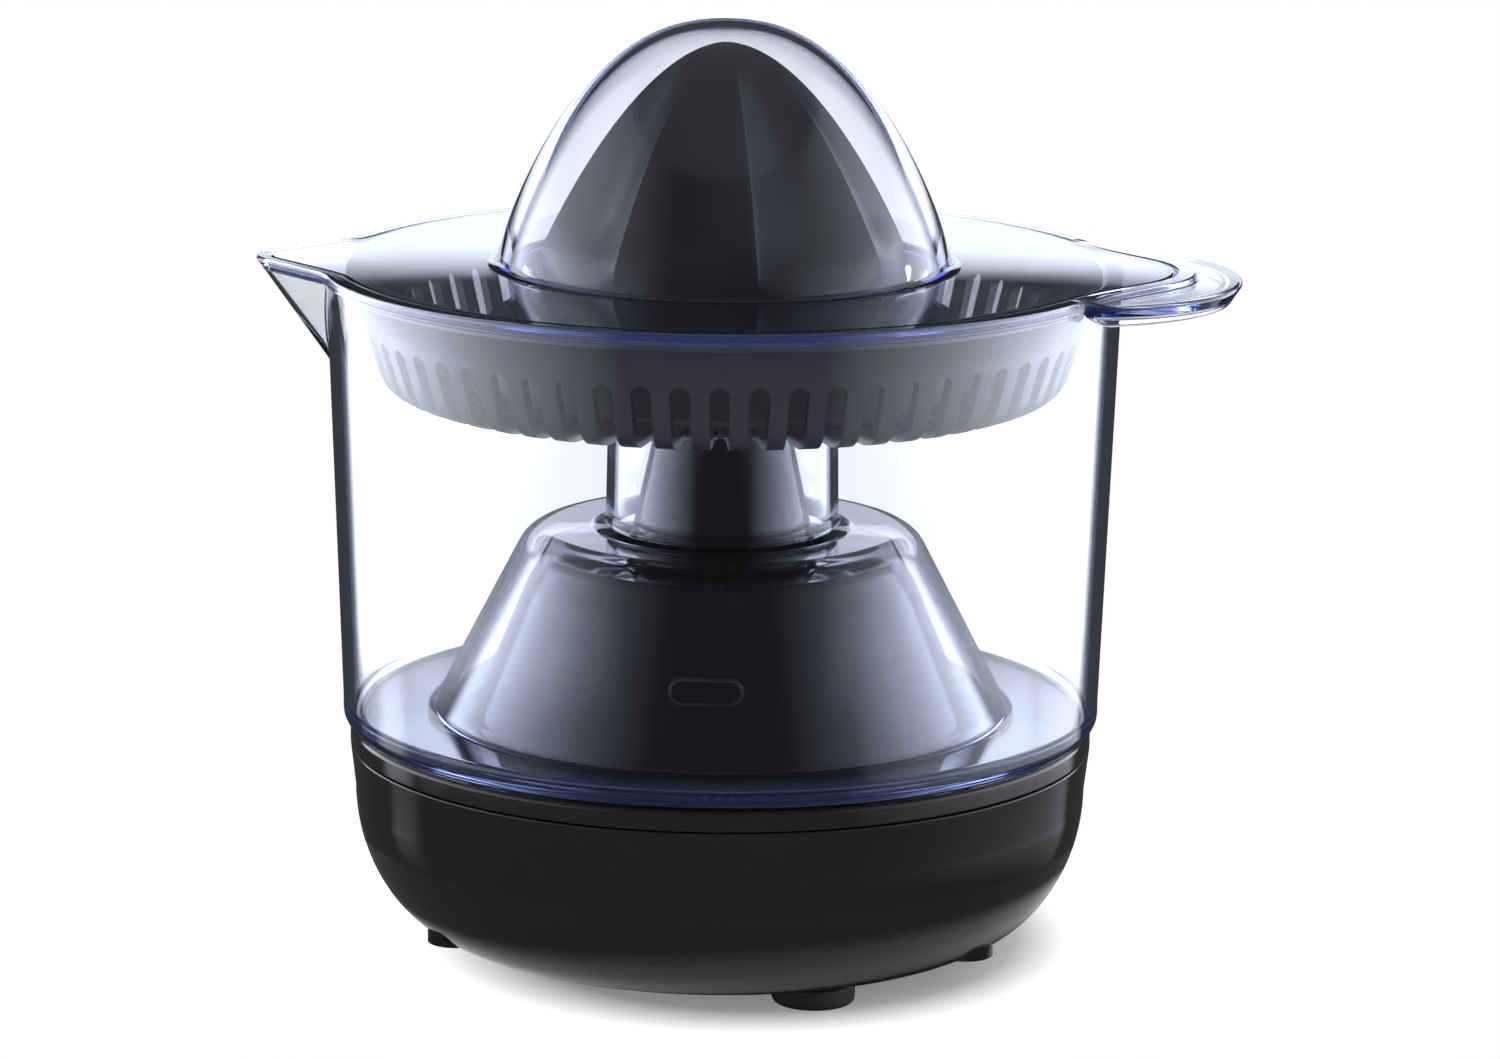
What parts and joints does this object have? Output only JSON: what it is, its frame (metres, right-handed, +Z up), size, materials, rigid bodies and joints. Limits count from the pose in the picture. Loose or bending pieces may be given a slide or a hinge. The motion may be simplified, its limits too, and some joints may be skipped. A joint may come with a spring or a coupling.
{
  "type": "citrus juicer",
  "caption": "Electric citrus press: dark motor base, clear jug with spout and ear handle, slotted strainer, ridged reamer and clear domed dust cover.",
  "frame": {"origin": "centre of the overall footprint, at the height of the surface the feet stand on", "axes": "+X from the spout to the handle, -Y to the front, +Z up"},
  "size_m": [0.1754, 0.1418, 0.1674],
  "materials": {
    "gloss_black_plastic": "glossy moulded plastic",
    "satin_charcoal_plastic": "satin moulded plastic",
    "clear_plastic": "clear polished plastic",
    "black_rubber": "matte",
    "gear_plastic": "satin natural acetal",
    "dark_plastic": "matte",
    "white_plastic": "matte",
    "steel": "plain bright steel",
    "lamination_steel": "dull stacked sheet",
    "copper": "enamelled copper wire",
    "bronze": "sintered bronze"
  },
  "bodies": {
    "base": {"lower_housing": "gloss_black_plastic", "upper_housing": "gloss_black_plastic", "foot_front": "black_rubber", "foot_rear": "black_rubber", "foot_left": "black_rubber", "cord_inlet": "black_rubber", "housing_screw_1": "steel", "housing_screw_2": "steel", "housing_screw_3": "steel", "chassis_plate": "steel", "gearbox_cover": "dark_plastic", "first_gear_pin": "steel", "second_gear_pin": "steel", "chassis_screw_1": "steel", "chassis_screw_2": "steel", "chassis_screw_3": "steel", "cover_screw_1": "steel", "cover_screw_2": "steel", "cover_screw_3": "steel", "stator_frame": "lamination_steel", "stator_bar": "lamination_steel", "coil_bobbin": "white_plastic", "coil_winding": "copper", "rotor_bracket": "steel", "motor_screw_1": "steel", "motor_screw_2": "steel", "lower_shaft_bush": "bronze", "upper_shaft_bush": "bronze", "shaft_seal": "black_rubber", "return_spring": "steel", "microswitch_body": "dark_plastic"},
    "output_gear": {"output_gear": "gear_plastic"},
    "drive_shaft": {"drive_shaft": "steel"},
    "second_gear": {"second_gear": "gear_plastic"},
    "first_gear": {"first_gear": "gear_plastic"},
    "rotor": {"rotor": "lamination_steel", "rotor_pinion": "bronze"},
    "switch_lever": {"switch_lever": "steel"},
    "switch_plunger": {"switch_plunger": "white_plastic"},
    "jug": {"jug": "clear_plastic"},
    "strainer": {"strainer": "satin_charcoal_plastic"},
    "reamer": {"reamer": "satin_charcoal_plastic"},
    "lid": {"lid": "clear_plastic"}
  },
  "joints": [
    {"name": "output_spin", "type": "hinge", "parent": "base", "child": "output_gear", "pos_m": [-0.0042, 0, 0.047], "axis": [0, 0, 1], "continuous": true},
    {"name": "second_spin", "type": "hinge", "parent": "base", "child": "second_gear", "pos_m": [-0.0147, -0.01819, 0.044], "axis": [0, 0, 1], "continuous": true},
    {"name": "first_spin", "type": "hinge", "parent": "base", "child": "first_gear", "pos_m": [-0.03035, -0.01274, 0.04], "axis": [0, 0, 1], "continuous": true},
    {"name": "rotor_spin", "type": "hinge", "parent": "base", "child": "rotor", "pos_m": [-0.02845, 0.00214, 0.02], "axis": [0, 0, 1], "continuous": true},
    {"name": "shaft_press", "type": "slide", "parent": "output_gear", "child": "drive_shaft", "axis": [0, 0, 1], "range_m": [-0.002, 0], "stiffness_N_per_m": 800, "springref_m": 0.002, "deforming": ["return_spring"]},
    {"name": "lever_turn", "type": "hinge", "parent": "base", "child": "switch_lever", "pos_m": [0.0178, 0, 0.0186], "axis": [0, 1, 0], "range_deg": [-5.3, 0]},
    {"name": "plunger_press", "type": "slide", "parent": "base", "child": "switch_plunger", "axis": [0, 0, 1], "range_m": [-0.00095, 0]},
    {"name": "jug_lift", "type": "slide", "parent": "base", "child": "jug", "axis": [0, 0, 1], "range_m": [0, 0.12]},
    {"name": "strainer_lift", "type": "slide", "parent": "jug", "child": "strainer", "axis": [0, 0, 1], "range_m": [0, 0.06]},
    {"name": "reamer_spin", "type": "hinge", "parent": "strainer", "child": "reamer", "pos_m": [-0.0042, 0, 0.135], "axis": [0, 0, 1], "continuous": true},
    {"name": "lid_lift", "type": "slide", "parent": "strainer", "child": "lid", "axis": [0, 0, 1], "range_m": [0, 0.06]}
  ],
  "couplings": [
    {"joint": "second_spin", "follows": "output_spin", "ratio": -3.2},
    {"joint": "first_spin", "follows": "output_spin", "ratio": 10.667},
    {"joint": "rotor_spin", "follows": "output_spin", "ratio": -42.667},
    {"joint": "reamer_spin", "follows": "output_spin", "ratio": 1},
    {"joint": "lever_turn", "follows": "shaft_press", "rad_per_m": 45.455},
    {"joint": "plunger_press", "follows": "shaft_press", "ratio": 0.45454}
  ]
}
